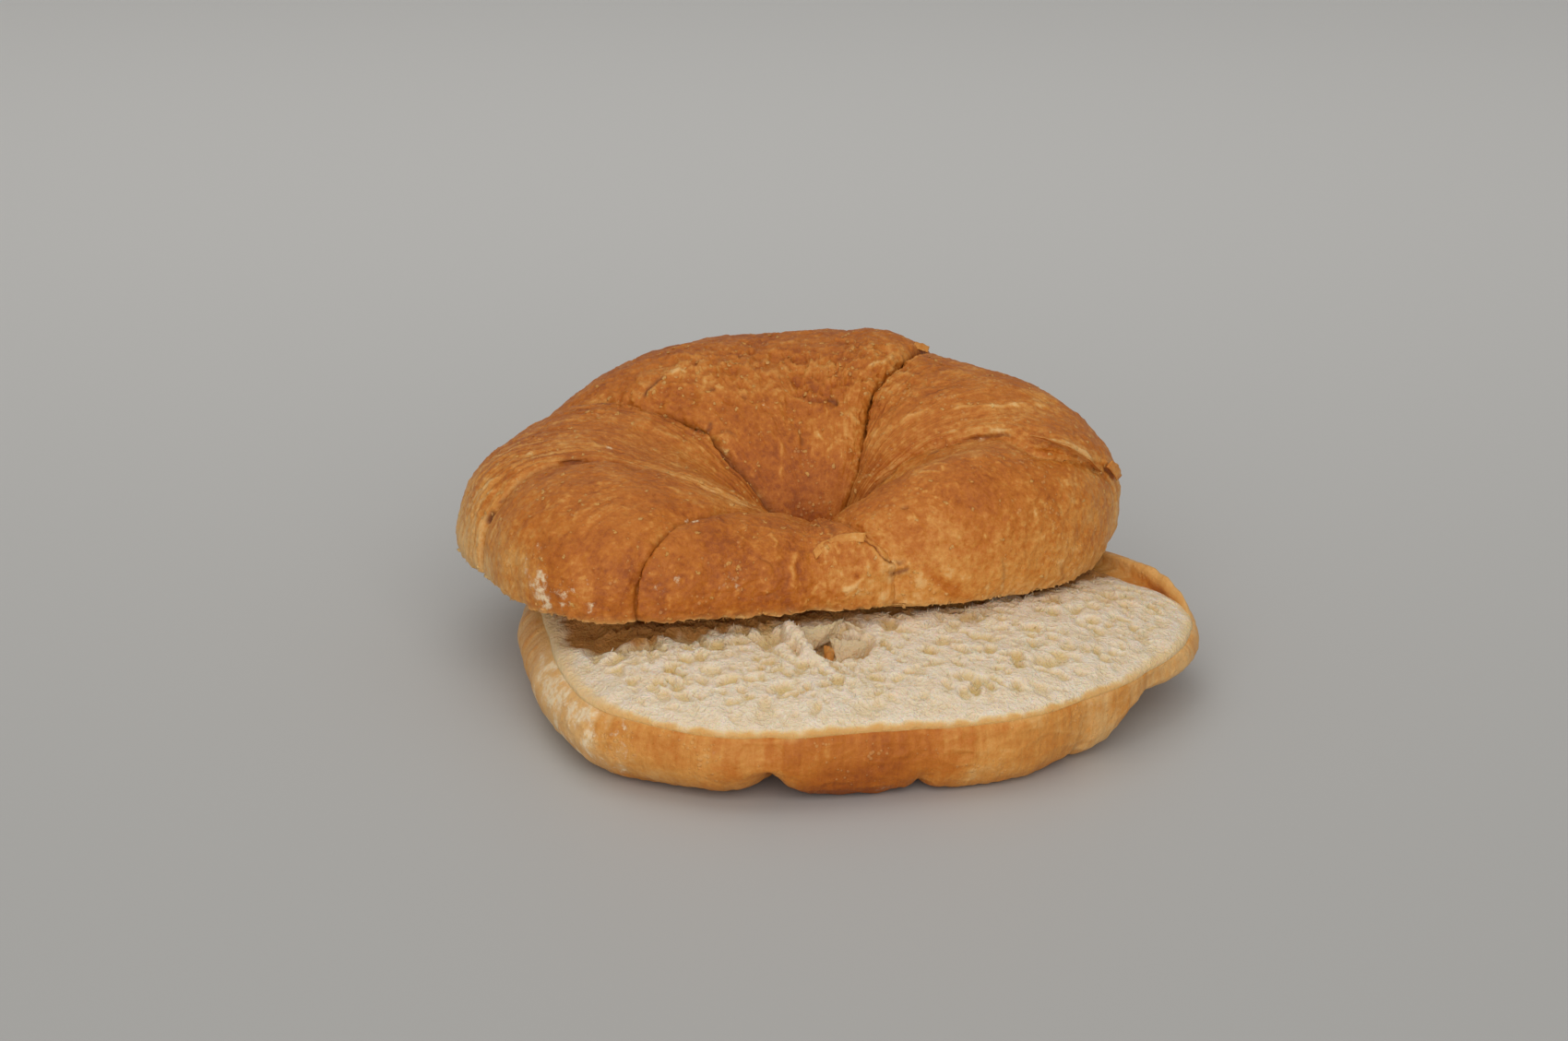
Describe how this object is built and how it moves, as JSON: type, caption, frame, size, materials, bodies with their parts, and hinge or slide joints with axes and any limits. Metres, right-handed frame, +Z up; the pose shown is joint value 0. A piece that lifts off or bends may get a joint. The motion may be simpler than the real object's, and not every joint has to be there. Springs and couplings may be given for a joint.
{
  "type": "sliced croissant",
  "caption": "Round golden croissant of rolled flaky dough, sliced level into a crown and a crumb-topped base that lie askew on each other.",
  "frame": {"origin": "middle of the underside of the box round both halves, on the surface that the base rests on", "axes": "+X along the croissant's longer side, to the right as seen from where its two horns meet; +Y from the horns to the rear wrap; +Z up"},
  "size_m": [0.1438, 0.1338, 0.0539],
  "materials": {
    "golden_crust": "browned, egg-washed laminated crust, low sheen",
    "pale_crust_and_crumb": "light brown crust round a cream-white open crumb, matt"
  },
  "bodies": {
    "root": {"bottom_half": "pale_crust_and_crumb", "top_half": "golden_crust"}
  },
  "joints": []
}
